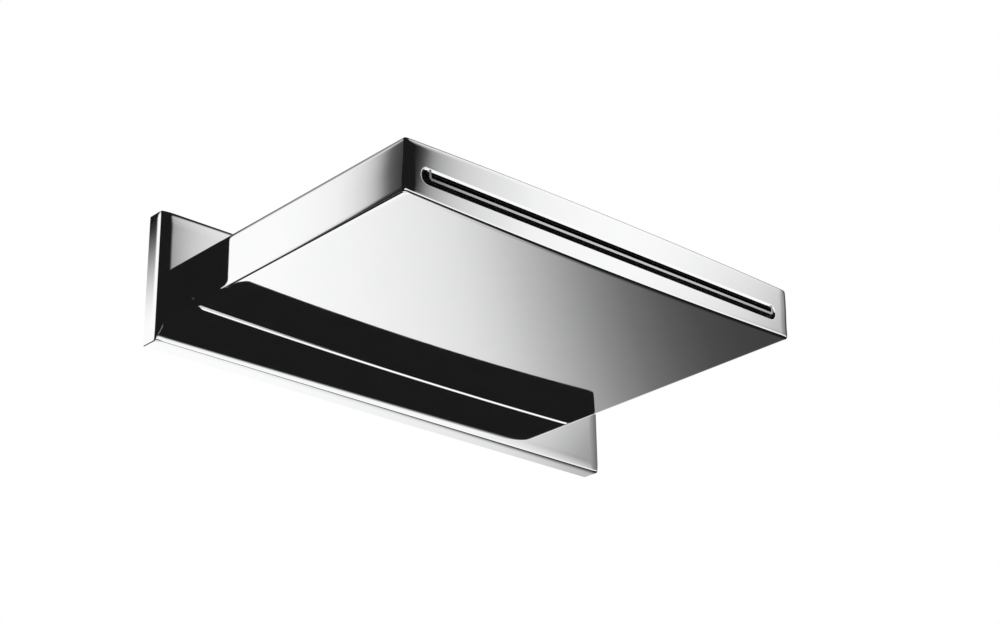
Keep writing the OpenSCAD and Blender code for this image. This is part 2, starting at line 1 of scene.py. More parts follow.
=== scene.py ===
"""Wall-mounted waterfall bath spout: materials, finer shapes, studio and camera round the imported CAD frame.

The scene is in metres in the CAD's frame: the wall is the plane y = 0, the spout reaches out along -Y and Z
is up. The sizes of pieces are named in millimetres, and mesh_object turns them into metres.
"""

import math

import bmesh
import bpy
from mathutils import Matrix, Vector


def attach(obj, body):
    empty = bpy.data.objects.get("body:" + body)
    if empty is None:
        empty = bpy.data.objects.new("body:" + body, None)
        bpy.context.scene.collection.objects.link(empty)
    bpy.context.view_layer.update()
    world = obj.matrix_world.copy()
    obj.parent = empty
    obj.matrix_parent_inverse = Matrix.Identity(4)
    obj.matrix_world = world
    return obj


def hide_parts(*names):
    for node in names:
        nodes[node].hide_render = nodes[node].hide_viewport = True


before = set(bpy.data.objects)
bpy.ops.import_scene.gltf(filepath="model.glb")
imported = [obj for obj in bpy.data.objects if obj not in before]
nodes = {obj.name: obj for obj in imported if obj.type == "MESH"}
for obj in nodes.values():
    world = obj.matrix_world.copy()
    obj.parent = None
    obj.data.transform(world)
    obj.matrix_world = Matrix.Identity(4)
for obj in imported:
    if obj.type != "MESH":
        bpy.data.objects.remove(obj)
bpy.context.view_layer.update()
MM = 0.001
# Edges that turn by more than this many degrees stay sharp
CREASE = 40
# Points nearer to each other than this are one, in metres
MERGE = 1e-7


# ---------------------------------------------------------------- small helpers


def add(tree, kind, inputs=None, **settings):
    """A shader node with its settings, and its inputs given as values or as other nodes' sockets."""
    node = tree.nodes.new(kind)
    for key, value in settings.items():
        setattr(node, key, value)
    for key, value in (inputs or {}).items():
        if isinstance(value, bpy.types.NodeSocket):
            tree.links.new(value, node.inputs[key])
        else:
            node.inputs[key].default_value = value
    return node


def calc(tree, operation, *values):
    """The result of a Math node."""
    return add(tree, "ShaderNodeMath", dict(enumerate(values)), operation=operation).outputs[0]


def product(tree, first, *others):
    """The product of several levels."""
    for value in others:
        first = calc(tree, "MULTIPLY", first, value)
    return first


def ramp(tree, value, stops):
    """A Color Ramp over (position, grey) or (position, colour) pairs."""
    node = add(tree, "ShaderNodeValToRGB", {0: value})
    points = node.color_ramp.elements
    while len(points) < len(stops):
        points.new(0.5)
    for point, (position, grey) in zip(points, stops):
        point.position = position
        point.color = (*grey, 1) if isinstance(grey, tuple) else (grey, grey, grey, 1)
    return node.outputs[0]


def smooth(tree, value, low, high, start=0.0, end=1.0):
    """A soft step of value, from start at low to end at high."""
    node = add(
        tree,
        "ShaderNodeMapRange",
        {"Value": value, "From Min": low, "From Max": high, "To Min": start, "To Max": end},
        interpolation_type="SMOOTHSTEP",
    )
    return node.outputs[0]


def profile(tree, value, pairs):
    """A level that follows value through (value, level) pairs."""
    low, high = pairs[0][0], pairs[-1][0]
    even = add(tree, "ShaderNodeMapRange", {"Value": value, "From Min": low, "From Max": high}).outputs[0]
    return ramp(tree, even, [((place - low) / (high - low), level) for place, level in pairs])


def mesh_object(name, verts, faces):
    """A mesh object from points in millimetres."""
    mesh = bpy.data.meshes.new(name)
    mesh.from_pydata([Vector(v) * MM for v in verts], [], faces)
    mesh.update()
    obj = bpy.data.objects.new(name, mesh)
    bpy.context.scene.collection.objects.link(obj)
    return obj


def finish_surface(obj):
    """Drops loose points and gives smooth shading that keeps flats flat and creases sharp."""
    bm = bmesh.new()
    bm.from_mesh(obj.data)
    bmesh.ops.delete(bm, geom=[v for v in bm.verts if not v.link_faces], context="VERTS")
    bmesh.ops.remove_doubles(bm, verts=bm.verts, dist=MERGE)
    bmesh.ops.recalc_face_normals(bm, faces=bm.faces)
    for face in bm.faces:
        face.smooth = True
    for edge in bm.edges:
        edge.smooth = edge.is_manifold and edge.calc_face_angle() < math.radians(CREASE)
    bm.to_mesh(obj.data)
    bm.free()
    weighted = obj.modifiers.new("flat_faces", "WEIGHTED_NORMAL")
    weighted.keep_sharp = True


class Skin:
    """A mesh put together from closed rings of points, joined by strips of quads."""

    def __init__(self):
        self.verts, self.faces = [], []

    def ring(self, points):
        start = len(self.verts)
        self.verts.extend(points)
        return list(range(start, len(self.verts)))

    def strip(self, a, b):
        count = len(a)
        for i in range(count):
            j = (i + 1) % count
            self.faces.append((a[i], a[j], b[j], b[i]))

    def tube(self, rings):
        """Rings of points joined one after another; returns their vertex numbers."""
        made = [self.ring(points) for points in rings]
        for a, b in zip(made, made[1:]):
            self.strip(a, b)
        return made


# ---------------------------------------------------------------- sizes shared with the CAD, in millimetres

# The spout: half its width, its front face and the plate's face out from the wall, half its sides' height
HALF_W = 125
FRONT = 166.5
PLATE_FACE = 10.5
SIDE_HALF = 13.25
# Rise of its top and underside at the middle, and their radius
CROWN = 1.7
CROWN_R = (HALF_W**2 + CROWN**2) / (2 * CROWN)
FRONT_WALL = 2.5
WALL = 2
# The slot in the front: half its length, half its height and its middle's height
SLOT_HALF = 115
SLOT_R = 3.45
SLOT_Z = -2.4
# The two grub screws' holes in the top
GRUB_X = 75
GRUB_OUT = 18.5
GRUB_HOLE_R = 3.4
PLATE_HALF_W = 145
PLATE_HALF_H = 34
PLATE_Z = -3
# The plate's holes for the stem and, as half width and half height, for the bracket's arms
STEM_HOLE_R = 8.8
STEM_HOLE_SIDES = 48
ARM_X = 75
ARM_HOLE = (11.8, 4.8)
# The shell's two inner lugs: from and to across, from and to out from the wall
LUG = (110.0, 123.0, 25.5, 37.5)


def tilt(roll, t):
    """Slope of a roll-off at distance t from the edge; roll gives its reach and its slope at the edge."""
    reach, slope = roll
    return slope * max(0, 1 - t / reach) ** 2


def sag(roll, t):
    """How far a roll-off has fallen at distance t from the edge."""
    reach, slope = roll
    return slope * reach / 3 * max(0, 1 - t / reach) ** 3


class Edge:
    """A polished edge: a small radius between a soft roll-off of the face and one of the wall beside it.

    face and wall give how far each roll-off reaches, and its slope at the edge; r is the radius."""

    WALL_STEPS = 7
    ARC_STEPS = 7
    FACE_STEPS = 9
    # Rings of a roll-off stand closer together towards the edge, by this power
    CLOSING = 1.3
    # Rounds after which the arc's two ends have settled
    ROUNDS = 60

    def __init__(self, face, wall, r):
        self.face, self.wall, self.r = face, wall, r
        along = down = r
        for _ in range(self.ROUNDS):  # settles where the arc meets the two roll-offs
            a, b = math.atan(tilt(face, along)), math.atan(tilt(wall, down))
            along = sag(wall, down) + r * (math.cos(b) - math.sin(a))
            down = sag(face, along) + r * (math.cos(a) - math.sin(b))
        self.along, self.down, self.turns = along, down, (math.pi / 2 - b, a)
        self.centre = (along + r * math.sin(a), sag(face, along) + r * math.cos(a))

    def profile(self):
        """(inset, depth) pairs from where the wall is straight to where the face is flat."""
        pairs = []
        for i in range(self.WALL_STEPS):
            depth = self.down + (self.wall[0] - self.down) * (1 - i / self.WALL_STEPS) ** self.CLOSING
            pairs.append((sag(self.wall, depth), depth))
        start, end = self.turns
        inset, depth = self.centre
        for i in range(self.ARC_STEPS + 1):
            turn = start + (end - start) * i / self.ARC_STEPS
            pairs.append((inset - self.r * math.sin(turn), depth - self.r * math.cos(turn)))
        for i in range(1, self.FACE_STEPS + 1):
            t = self.along + (self.face[0] - self.along) * (i / self.FACE_STEPS) ** self.CLOSING
            pairs.append((t, sag(self.face, t)))
        return pairs


# Each as reach and slope of the face's roll-off, the same of the wall's, and the radius between them
FRONT_TOP_EDGE = Edge((2.8, 0.25), (3.5, 0.15), 0.7)
FRONT_LOW_EDGE = Edge((3.2, 0.27), (3.2, 0.12), 1.5)
LONG_EDGE = Edge((4.5, 0.12), (3.0, 0.16), 0.9)
INNER_EDGE = Edge((4.5, 0), (5.0, 0), 0.5)
PLATE_EDGE = Edge((7.0, 0.21), (5.0, 0.14), 0.45)
PLATE_SIDE_EDGE = Edge((7.0, 0.21), (5.0, 0.14), 1.2)
PLATE_CORNER = Edge((4.0, 0.1), (4.0, 0.1), 0.6)


def outline(half_w, top, lines, edge, side_steps=12):
    """Points once round a section that is symmetric under a half turn: its top from +x to -x, an edge, its
    side downwards, an edge, and the same again. top(x) gives the height of the top, and lines its places
    along x."""
    corner = [(half_w - inset, top(half_w - inset) - drop) for inset, drop in edge.profile()]
    reach = corner[0][1]
    half = [(x, top(x)) for x in lines]
    half += [(-x, z) for x, z in corner[::-1]]
    half += [(-half_w, reach * (1 - 2 * i / side_steps)) for i in range(1, side_steps)]
    half += [(-x, -z) for x, z in corner]
    return half + [(-x, -z) for x, z in half]


def both_sides(half):
    """Places along x from +x to -x, from those on the +x side."""
    return half + [0] + [-x for x in half[::-1]]


def round_angles(count):
    """Angles once round, from 0."""
    return [2 * math.pi * i / count for i in range(count)]


# ---------------------------------------------------------------- spout shell

# Half the square patch round each grub screw hole, and its quads along each side
PATCH = 6
PATCH_STEPS = 8
PATCH_LINES = [GRUB_X + PATCH - 2 * PATCH * i / PATCH_STEPS for i in range(PATCH_STEPS + 1)]
LINES_END = 120.5
SHELL_LINES = both_sides(
    [118.5, 115, 111, 107, 102, 97, 92, 87, 84] + PATCH_LINES + [66, 61, 56, 50, 44, 38, 32, 26, 20, 14, 7]
)
PATCH_OUTS = [GRUB_OUT - PATCH + 2 * PATCH * i / PATCH_STEPS for i in range(PATCH_STEPS + 1)]
# Rings along the spout between those patches and the front's edge, out from the wall
BODY_OUTS = PATCH_OUTS + [28, 33, 40, 50, 62, 76, 92, 108, 124, 138, 150, 157]
# The slot's dished rim: how far outside the slot, and how deep below the front face
SLOT_RIM = [
    (1.75, 0), (1.35, 0), (1.15, 0.012), (0.9, 0.06), (0.3, 0.24), (-0.1, 0.38), (-0.25, 0.46), (-0.3, 0.6),
    (-0.3, FRONT_WALL),
]
# The rim's width at the left, below and at the right, as shares of its width above
RIM_LEFT = 0.6
RIM_LOW = 0.35
RIM_RIGHT = 0.4
# The front falls off this far in from its two ends
END_REACH = 6.5
# Its slope there, at the left and at the right end, as (high up, low down), and the heights these are for
END_LEFT = (0.03, 0.2)
END_RIGHT = (0.12, 0.22)
END_HEIGHTS = (5, -9)
# Heights between which the front's edge goes over from its upper to its lower form
EDGE_HEIGHTS = (8, -8)
# Rings between the front's edge and its flat
FACE_INSETS = (4.2, 5.3, END_REACH)
# At the front's two ends the wall stays straight over this much of its width, and fully over the last
STRAIGHT_SIDE = (1.4, 0.2)
# The bevel round a grub screw hole, and how far out the wall's mesh runs round it
HOLE_BEVEL = 0.12
HOLE_RING = 0.9
# The root's flare: how far it spreads, and how far out from the plate
FLARE = [(1.2, 0), (0.75, 0.11), (0.3, 0.23), (0.16, 0.32), (0.07, 0.48), (0.02, 0.75), (0, 1.2)]
# Where the flare ends across, towards the corners, and on the two sides above and below
FLARE_ACROSS = (122.5, 118.5)
FLARE_ABOVE = (6, -4)
FLARE_BELOW = (-11.5, -8)
# The sides are the points this near to the spout's full width
SIDE_REACH = 0.9


def crown(x, inset=0):
    """Height of the crowned top at x, or of a surface that lies inset under it."""
    return SIDE_HALF + CROWN - CROWN_R + math.sqrt((CROWN_R - inset) ** 2 - x**2)


def shell_ring(inset, out_of, grow=0):
    """The shell's section drawn in by inset or grown; out_of(x, z) gives its distance out from the wall."""
    d = inset - grow
    scale = (LINES_END - d) / LINES_END
    section = outline(HALF_W - d, lambda x: crown(x, d), [x * scale for x in SHELL_LINES], LONG_EDGE)
    return [(x, -out_of(x, z), z) for x, z in section]


def step(low, high, value):
    """A soft step from 0 at low to 1 at high."""
    t = min(1, max(0, (value - low) / (high - low)))
    return t * t * (3 - 2 * t)


def front_out(depth, inset, face):
    """Distance out of a front ring's points: the roll-offs add up near the corners, and the front's two ends
    fall off a little more, mostly low down."""

    def at(x, z):
        to_side = HALF_W - abs(x)
        to_top = crown(x) - abs(z)
        high, low = END_RIGHT if x > 0 else END_LEFT
        end = (END_REACH, high + (low - high) * step(*END_HEIGHTS, z))
        fallen = sag(face, to_side) + sag(face, to_top) - sag(face, inset)
        return FRONT - depth - fallen - sag(end, to_side)

    return at


def blend(ring, other, share_of):
    """A ring part way between two others: share_of(point of the first) of the second."""
    made = []
    for a, b in zip(ring, other):
        share = share_of(a)
        made.append(tuple(p + (q - p) * share for p, q in zip(a, b)))
    return made


def flare_share(point):
    """Share of the flare that is left: all of it above and below, none by the corners, some on the two
    sides."""
    x, _, z = point
    beside = step(*FLARE_BELOW, z) * step(*FLARE_ABOVE, z) if abs(x) > HALF_W - SIDE_REACH else 0
    return max(step(*FLARE_ACROSS, abs(x)), beside)


def flare_ring(grow, out):
    """A ring of the root's flare."""
    straight, flared = (shell_ring(0, lambda x, z: PLATE_FACE + out, g) for g in (0, grow))
    return blend(straight, flared, flare_share)


def front_ring(edge_pair, edge):
    """One ring of the front's edge; at its two ends the wall beside it stays straight."""
    inset, depth = edge_pair
    kept = sag(edge.wall, max(depth, edge.down)) if inset < END_REACH else 0
    start, full = (HALF_W - reach for reach in STRAIGHT_SIDE)
    ring = []
    for x, y, z in shell_ring(inset, front_out(depth, inset, edge.face)):
        ring.append((x + math.copysign(kept, x) * step(start, full, abs(x) + inset), y, z))
    return ring


def front_rings():
    """The rings round the front's edge and over its roll-off: tighter at the top than at the bottom."""
    inner = [(inset, 0) for inset in FACE_INSETS]
    above = [front_ring(edge_pair, FRONT_TOP_EDGE) for edge_pair in FRONT_TOP_EDGE.profile() + inner]
    below = [front_ring(edge_pair, FRONT_LOW_EDGE) for edge_pair in FRONT_LOW_EDGE.profile() + inner]
    return [blend(a, b, lambda point: step(*EDGE_HEIGHTS, point[2])) for a, b in zip(above, below)]


def slot_ring(grow, depth, count_side):
    """The slot's outline with as many points as the shell's section; its rim is widest above."""
    up = SLOT_R + grow
    left = SLOT_R + RIM_LEFT * grow
    down = SLOT_R + RIM_LOW * max(0, grow)
    right = SLOT_R + RIM_RIGHT * max(0, grow)
    flat = SLOT_HALF - SLOT_R
    turns = [math.pi * i / (count_side - 1) for i in range(count_side)]
    loop = [(x * flat / LINES_END, up) for x in SHELL_LINES]
    loop += [(-flat - left * math.sin(t), (up if t < math.pi / 2 else down) * math.cos(t)) for t in turns]
    loop += [(-x * flat / LINES_END, -down) for x in SHELL_LINES]
    loop += [(flat + right * math.sin(t), -(down if t < math.pi / 2 else up) * math.cos(t)) for t in turns]
    return [(x, -(FRONT - depth), SLOT_Z + z) for x, z in loop]


def inner_ring(out):
    """A ring of the shell's inside."""
    section = outline(HALF_W - WALL, lambda x: SIDE_HALF - WALL, SHELL_LINES, INNER_EDGE)
    return [(x, -out, z) for x, z in section]


def hole_through(skin, outer_rows, inner_rows, columns):
    """Cuts one grub screw hole: takes the quads of a patch out of the wall's two faces and joins the borders
    to a round bore."""
    borders = []
    for rows in (outer_rows, inner_rows):
        near, far = rows[0], rows[-1]
        border = [near[c] for c in columns[:-1]] + [row[columns[-1]] for row in rows[:-1]]
        border += [far[c] for c in columns[:0:-1]] + [row[columns[0]] for row in rows[:0:-1]]
        borders.append(border)
        patch = {row[c] for row in rows for c in columns}
        skin.faces = [f for f in skin.faces if not set(f) <= patch]
    xs = [skin.verts[i][0] for i in borders[0]]
    x0 = (min(xs) + max(xs)) / 2
    count = len(borders[0])
    first = skin.verts[borders[0][0]]
    start = math.atan2(-GRUB_OUT - first[1], x0 - first[0]) + math.pi
    second = skin.verts[borders[0][1]]
    turn = math.atan2(second[1] + GRUB_OUT, second[0] - x0) - math.atan2(first[1] + GRUB_OUT, first[0] - x0)
    way = 1 if turn > 0 else -1

    def round_ring(r, height):
        points = []
        for i in range(count):
            a = start + way * 2 * math.pi * i / count
            x = x0 + r * math.cos(a)
            points.append((x, -GRUB_OUT + r * math.sin(a), height(x)))
        return skin.ring(points)

    under = SIDE_HALF - WALL
    rings = [
        borders[0],
        round_ring(GRUB_HOLE_R + HOLE_RING, crown),
        round_ring(GRUB_HOLE_R + HOLE_BEVEL, crown),
        round_ring(GRUB_HOLE_R, lambda x: crown(x) - HOLE_BEVEL),
        round_ring(GRUB_HOLE_R, lambda x: under),
        round_ring(GRUB_HOLE_R + HOLE_RING, lambda x: under),
        borders[1],
    ]
    for a, b in zip(rings, rings[1:]):
        skin.strip(a, b)


def block(skin, x0, x1, out0, out1, low, high):
    """A box-shaped lug."""
    corners = [(x, -out, z) for x in (x0, x1) for out in (out0, out1) for z in (low, high)]
    n = len(skin.verts)
    skin.verts.extend(corners)
    for quad in ((0, 1, 3, 2), (4, 6, 7, 5), (0, 4, 5, 1), (2, 3, 7, 6), (0, 2, 6, 4), (1, 5, 7, 3)):
        skin.faces.append(tuple(n + i for i in quad))


def make_shell():
    """The shell: a flared root, the crowned box, the front with its slot, the inside, and two lugs."""
    skin = Skin()
    rings = [flare_ring(grow, out) for grow, out in FLARE]
    patch_start = len(rings)
    rings += [shell_ring(0, lambda x, z, o=out: o) for out in BODY_OUTS]
    rings += front_rings()
    side_count = (len(rings[0]) - 2 * len(SHELL_LINES)) // 2
    rings += [slot_ring(grow, depth, side_count) for grow, depth in SLOT_RIM]
    inner_front = len(rings)
    inner_outs = [FRONT - FRONT_WALL] + BODY_OUTS[::-1] + [PLATE_FACE]
    rings += [inner_ring(out) for out in inner_outs]
    made = skin.tube(rings)
    skin.strip(made[-1], made[0])
    outer_rows = made[patch_start : patch_start + PATCH_STEPS + 1]
    inner_patch = inner_front + inner_outs.index(PATCH_OUTS[0])
    inner_rows = [made[inner_patch - i] for i in range(PATCH_STEPS + 1)]
    first = SHELL_LINES.index(GRUB_X + PATCH)
    second = SHELL_LINES.index(-(GRUB_X - PATCH))
    for start in (first, second):
        hole_through(skin, outer_rows, inner_rows, list(range(start, start + PATCH_STEPS + 1)))
    height = SIDE_HALF - WALL
    for s in (-1, 1):
        block(skin, s * LUG[0], s * LUG[1], LUG[2], LUG[3], -height, height)
    obj = mesh_object("shell", skin.verts, skin.faces)
    finish_surface(obj)
    return obj


# ---------------------------------------------------------------- cover plate

PLATE_LINES = both_sides([138, 134, 128, 120, 105, 90, 75, 60, 45, 30, 15])
PLATE_SIDE_STEPS = 24
# Two rings of the rim between its back and where its edge begins, out from the wall
RIM_OUTS = (0.4, 3)
# Where the plate's edge goes over to its form at the two ends, across
PLATE_ENDS = (139.5, 144)


def plate_section(inset, half_w=PLATE_HALF_W, half_h=PLATE_HALF_H):
    """The plate's outline, drawn in by inset."""
    scale = (half_w - inset) / PLATE_HALF_W
    lines = [x * scale for x in PLATE_LINES]
    return outline(half_w - inset, lambda x: half_h - inset, lines, PLATE_CORNER, PLATE_SIDE_STEPS)


def fill_flat(skin, loops):
    """Fills the flat area between an outer loop and the holes in it, all at one distance from the wall."""
    bm = bmesh.new()
    made = []
    for loop in loops:
        verts = [bm.verts.new(skin.verts[i]) for i in loop]
        for v, i in zip(verts, loop):
            made.append((v, i))
        for a, b in zip(verts, verts[1:] + verts[:1]):
            bm.edges.new((a, b))
    bmesh.ops.triangle_fill(bm, use_beauty=True, edges=bm.edges)
    number = dict(made)
    for face in bm.faces:
        skin.faces.append(tuple(number[v] for v in face.verts))
    bm.free()


def plate_hole_outlines():
    """The plate's holes: one for the stem and two for the bracket's arms."""
    angles = round_angles(STEM_HOLE_SIDES)
    holes = [[(STEM_HOLE_R * math.cos(a), STEM_HOLE_R * math.sin(a)) for a in angles]]
    w, h = ARM_HOLE
    for s in (-1, 1):
        holes.append([(s * ARM_X + x, z) for x, z in ((-w, -h), (w, -h), (w, h), (-w, h))])
    return holes


def make_plate():
    """The cover plate: a hollow tray with soft edges, open to the wall, and its holes."""
    skin = Skin()

    def ring(section, out_of):
        return [(x, -out_of(x, z), PLATE_Z + z) for x, z in section]

    def face_out(depth, inset):
        def at(x, z):
            roll = PLATE_EDGE.face
            fallen = sag(roll, PLATE_HALF_W - abs(x)) + sag(roll, PLATE_HALF_H - abs(z)) - sag(roll, inset)
            return PLATE_FACE - depth - fallen

        return at

    hollow = PLATE_FACE - WALL
    inner = plate_section(0, PLATE_HALF_W - WALL, PLATE_HALF_H - WALL)
    rings = [ring(inner, lambda x, z: hollow), ring(inner, lambda x, z: 0)]
    rings += [ring(plate_section(0), lambda x, z, o=out: o) for out in (0, *RIM_OUTS)]
    for level, beside in zip(PLATE_EDGE.profile(), PLATE_SIDE_EDGE.profile()):
        pair = [ring(plate_section(inset), face_out(depth, inset)) for inset, depth in (level, beside)]
        rings.append(blend(*pair, lambda point: step(*PLATE_ENDS, abs(point[0]))))
    made = skin.tube(rings)
    front_loops, back_loops = [made[-1]], [made[0]]
    for hole in plate_hole_outlines():
        front = skin.ring([(x, -PLATE_FACE, z) for x, z in hole])
        back = skin.ring([(x, -hollow, z) for x, z in hole])
        skin.strip(front, back)
        front_loops.append(front)
        back_loops.append(back)
    fill_flat(skin, front_loops)
    fill_flat(skin, back_loops)
    obj = mesh_object("plate", skin.verts, skin.faces)
    finish_surface(obj)
    return obj


# ---------------------------------------------------------------- threaded pieces

# Places along the supply axis are along +Y, into the wall, from its face at 0
SCREW_PLACES = [(x, z) for x in (-100, 100) for z in (-14, 14)]
SCREW_R = 2.5
SCREW_ROOT_R = 1.75
SCREW_NECK_R = 2.1
SCREW_PITCH = 2.2
# Crest and flank of the screw's thread as shares of its pitch, and of the pipe thread's
SCREW_THREAD = (0.06, 0.24)
PIPE_THREAD = (0.14, 0.36)
# Where the neck ends, and where the thread has its full depth
SCREW_NECK_TO = 1
SCREW_THREAD_FULL = 3.5
SCREW_TIP = 30
SCREW_TIP_LEN = 6
SCREW_TIP_R = 0.4
HEAD_R = 4.6
HEAD_SEAT = -4.2
HEAD_H = 3
# The head's flat top and the round over to its side: shares of its radius, and heights
HEAD_TOP_SHARE = 0.8
HEAD_ROUND_SHARE = 0.84
HEAD_BEVEL = 0.12
HEAD_RIM = 0.35
DRIVE_LEN = 5.52
DRIVE_W = 1.012
DRIVE_DEPTH = 1.65
# Angles of the cross recess's points past its corner, up to half a right angle
DRIVE_ANGLES = [0.35, 0.56]
NIPPLE_SIDES = 48
PIPE_R = 10.4775
PIPE_ROOT_R = 9.32
PIPE_PITCH = 1.814
PIPE_FROM = 2.2
PIPE_TO = 18.2
PIPE_CHAMFER = 0.9
FILTER_SEAT_R = 7.878
FILTER_FROM = 15.8
COLLAR_R = 12
COLLAR_BEVEL = 0.2
HEX_AF = 27
HEX_FROM = -3
HEX_TO = -8
HEX_CHAMFER = 0.8
# How far the hexagon's corners are cut back for that chamfer's height
HEX_CUT_SHARE = 1.7
STEM_R = 8
STEM_TO = -21
STEM_BEVEL = 0.4
BORE_R = 5.5
BORE_BEVEL = 0.3
RING_PLACES = (-14.92, -18.53)
RING_GROOVE_W = 2.1
RING_GROOVE_R = 6.6
# Rings to each turn of a thread
THREAD_STEPS = 8


def about_axis(y, radius_of, angles, x0=0, z0=0):
    """A ring round an axis along Y: radius_of gives its radius by angle."""
    return [(x0 + radius_of(a) * math.cos(a), y, z0 + radius_of(a) * math.sin(a)) for a in angles]


def tooth(y, angle, pitch, crest_share, flank_share):
    """Height of a thread, 0 at its root and 1 at its crest; the shares are of one turn's length."""
    off = abs((y / pitch - angle / (2 * math.pi)) % 1 - 0.5)
    return min(1, max(0, 1 - (off - crest_share / 2) / flank_share))


def cross_radius(angle):
    """Outline of the screw head's cross recess, by angle."""
    folded = abs((angle + math.pi / 4) % (math.pi / 2) - math.pi / 4)
    if math.tan(folded) <= DRIVE_W / DRIVE_LEN:
        return DRIVE_LEN / 2 / math.cos(folded)
    return DRIVE_W / 2 / math.sin(folded)


def screw_radius(y, angle):
    """The screw's threaded part: it starts beside the neck and runs out along the pointed tip."""
    envelope = SCREW_R - (SCREW_R - SCREW_TIP_R) * max(0, y - SCREW_TIP + SCREW_TIP_LEN) / SCREW_TIP_LEN
    root = envelope * SCREW_ROOT_R / SCREW_R
    lead = step(SCREW_NECK_TO, SCREW_THREAD_FULL, y)
    height = tooth(y, angle, SCREW_PITCH, *SCREW_THREAD) * lead
    base = SCREW_NECK_R + (root - SCREW_NECK_R) * lead
    return base + (envelope - base) * height


def make_wall_screws():
    """The four wall screws: a head with a cross recess, a neck, a helical thread and a pointed tip."""
    corner = math.atan(DRIVE_W / DRIVE_LEN)
    eighth = [0, corner] + DRIVE_ANGLES
    quarter = eighth + [math.pi / 4] + [math.pi / 2 - a for a in eighth[:0:-1]]
    angles = [turn * math.pi / 2 + a for turn in range(4) for a in quarter]
    head_top = HEAD_SEAT - HEAD_H
    length = SCREW_TIP - SCREW_NECK_TO
    count = round(length / SCREW_PITCH * THREAD_STEPS)
    skin = Skin()
    for x0, z0 in SCREW_PLACES:
        rings = [about_axis(y, cross_radius, angles, x0, z0) for y in (head_top + DRIVE_DEPTH, head_top)]
        for r, y in (
            (HEAD_R * HEAD_TOP_SHARE, head_top),
            (HEAD_R * HEAD_ROUND_SHARE, head_top + HEAD_BEVEL),
            (HEAD_R, HEAD_SEAT - HEAD_RIM),
            (HEAD_R, HEAD_SEAT - HEAD_BEVEL),
            (HEAD_R - HEAD_BEVEL, HEAD_SEAT),
            (SCREW_NECK_R, HEAD_SEAT),
        ):
            rings.append(about_axis(y, lambda a: r, angles, x0, z0))
        for i in range(count + 1):
            y = SCREW_NECK_TO + length * i / count
            rings.append(about_axis(y, lambda a: screw_radius(y, a), angles, x0, z0))
        made = skin.tube(rings)
        skin.faces.append(tuple(made[0]))
        skin.faces.append(tuple(made[-1][::-1]))
    obj = mesh_object("screws", skin.verts, skin.faces)
    finish_surface(obj)
    return obj


def pipe_radius(y, angle):
    """The nipple's pipe thread: chamfered at its end, and running out before the collar."""
    envelope = PIPE_R - max(0, y - PIPE_TO + PIPE_CHAMFER)
    height = tooth(y, angle, PIPE_PITCH, *PIPE_THREAD) * step(PIPE_FROM, PIPE_FROM + PIPE_PITCH, y)
    return min(envelope, PIPE_ROOT_R + (PIPE_R - PIPE_ROOT_R) * height)


def hex_radius(limit, angle):
    """The hexagon's outline by angle, cut back to limit at its corners."""
    return min(limit, HEX_AF / 2 / math.cos(angle % (math.pi / 3) - math.pi / 6))


def make_nipple():
    """The supply nipple: pipe thread, collar, hexagon with chamfered corners, and the stem with its ring
    grooves."""
    angles = round_angles(NIPPLE_SIDES)
    rings = []

    def add_rounds(pairs):
        for r, y in pairs:
            rings.append(about_axis(y, lambda a: r, angles))

    count = round((PIPE_TO - PIPE_FROM) / PIPE_PITCH * THREAD_STEPS)
    for i in range(count + 1):
        y = PIPE_TO + (PIPE_FROM - PIPE_TO) * i / count
        rings.append(about_axis(y, lambda a: pipe_radius(y, a), angles))
    add_rounds(((PIPE_ROOT_R, 0), (COLLAR_R - COLLAR_BEVEL, 0)))
    add_rounds(((COLLAR_R, -COLLAR_BEVEL), (COLLAR_R, HEX_FROM)))
    corner_r = HEX_AF / 2 / math.cos(math.pi / 6)
    cut_r = corner_r - HEX_CUT_SHARE * HEX_CHAMFER
    for limit, y in (
        (cut_r, HEX_FROM),
        (corner_r, HEX_FROM - HEX_CHAMFER),
        (corner_r, HEX_TO + HEX_CHAMFER),
        (cut_r, HEX_TO),
    ):
        rings.append(about_axis(y, lambda a: hex_radius(limit, a), angles))
    add_rounds(((STEM_R, HEX_TO),))
    half = RING_GROOVE_W / 2
    for place in RING_PLACES:
        near, far = place + half, place - half
        add_rounds(((STEM_R, near), (RING_GROOVE_R, near), (RING_GROOVE_R, far), (STEM_R, far)))
    add_rounds(((STEM_R, STEM_TO + STEM_BEVEL), (STEM_R - STEM_BEVEL, STEM_TO)))
    add_rounds(((BORE_R + BORE_BEVEL, STEM_TO), (BORE_R, STEM_TO + BORE_BEVEL)))
    add_rounds(((BORE_R, FILTER_FROM), (FILTER_SEAT_R, FILTER_FROM), (FILTER_SEAT_R, PIPE_TO)))
    skin = Skin()
    made = skin.tube(rings)
    skin.strip(made[-1], made[0])
    obj = mesh_object("nipple", skin.verts, skin.faces)
    finish_surface(obj)
    return obj


# ---------------------------------------------------------------- materials


def material(name):
    """A new material's node tree and its shader."""
    mat = bpy.data.materials.new(name)
    mat.use_nodes = True
    return mat, mat.node_tree, mat.node_tree.nodes["Principled BSDF"]


def object_place(tree, scale=(1, 1, 1)):
    """A point's place on its piece, which is its place in the frame, stretched by scale."""
    place = add(tree, "ShaderNodeTexCoord").outputs["Object"]
    return add(tree, "ShaderNodeMapping", {"Vector": place, "Scale": scale}).outputs[0]


def noise(tree, vector, scale, detail, roughness=0.5):
    """The level of a noise."""
    inputs = {"Vector": vector, "Scale": scale, "Detail": detail, "Roughness": roughness}
    return add(tree, "ShaderNodeTexNoise", inputs).outputs["Fac"]


def spread(tree, value, low, high, start, end):
    """A straight step of value, from start at low to end at high."""
    inputs = {"Value": value, "From Min": low, "From Max": high, "To Min": start, "To Max": end}
    return add(tree, "ShaderNodeMapRange", inputs).outputs[0]


